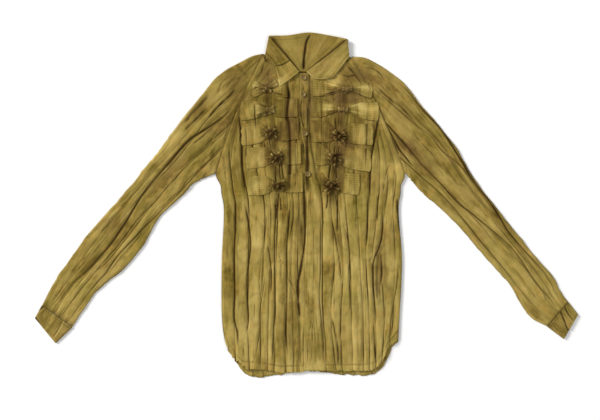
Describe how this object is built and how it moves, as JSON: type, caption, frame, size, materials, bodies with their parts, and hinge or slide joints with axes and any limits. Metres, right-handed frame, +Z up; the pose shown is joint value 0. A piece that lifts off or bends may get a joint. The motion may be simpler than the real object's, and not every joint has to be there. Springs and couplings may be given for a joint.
{
  "type": "crinkle-pleated shirt blouse laid flat",
  "caption": "Long-sleeved crinkle-pleated shirt blouse lying flat, with a folded collar, buttoned front strip, bow-tied bands across the chest and a shirt-tail hem.",
  "frame": {"origin": "on the surface the garment lies on, under the middle of its laid-out box", "axes": "+X across the garment towards the right sleeve as seen from above, +Y along it from hem to collar, +Z up from the surface"},
  "size_m": [1.1668, 0.741, 0.0177],
  "materials": {
    "pleated_cloth": "olive-gold crinkled cotton with a soft satin sheen, unevenly dyed, darker in its creases",
    "collar_cloth": "the same olive-gold cloth, pressed smoother",
    "cuff_cloth": "the same olive-gold cloth, doubled and topstitched",
    "placket_cloth": "the same olive-gold cloth, folded to a strip and topstitched",
    "band_cloth": "the same olive-gold cloth with faint cross stripes",
    "knot_cloth": "the same cloth crushed tight, browner and darker",
    "button": "semi-gloss dull gold-brown with a raised rim"
  },
  "bodies": {
    "root": {"back": "pleated_cloth", "front_left": "pleated_cloth", "front_right": "pleated_cloth", "sleeve_left": "pleated_cloth", "sleeve_right": "pleated_cloth", "cuff_left": "cuff_cloth", "cuff_right": "cuff_cloth", "placket": "placket_cloth", "collar_inside": "collar_cloth", "collar_fall_left": "collar_cloth", "collar_fall_right": "collar_cloth", "collar_fall_back": "collar_cloth", "band_left_1": "band_cloth", "band_left_2": "band_cloth", "band_left_3": "band_cloth", "band_left_4": "band_cloth", "band_left_5": "band_cloth", "band_right_1": "band_cloth", "band_right_2": "band_cloth", "band_right_3": "band_cloth", "band_right_4": "band_cloth", "band_right_5": "band_cloth", "knot_left_1": "knot_cloth", "knot_left_2": "knot_cloth", "knot_left_3": "knot_cloth", "knot_left_4": "knot_cloth", "knot_left_5": "knot_cloth", "knot_right_1": "knot_cloth", "knot_right_2": "knot_cloth", "knot_right_3": "knot_cloth", "knot_right_4": "knot_cloth", "knot_right_5": "knot_cloth", "button_1": "button", "button_2": "button", "button_3": "button", "button_4": "button"}
  },
  "joints": []
}
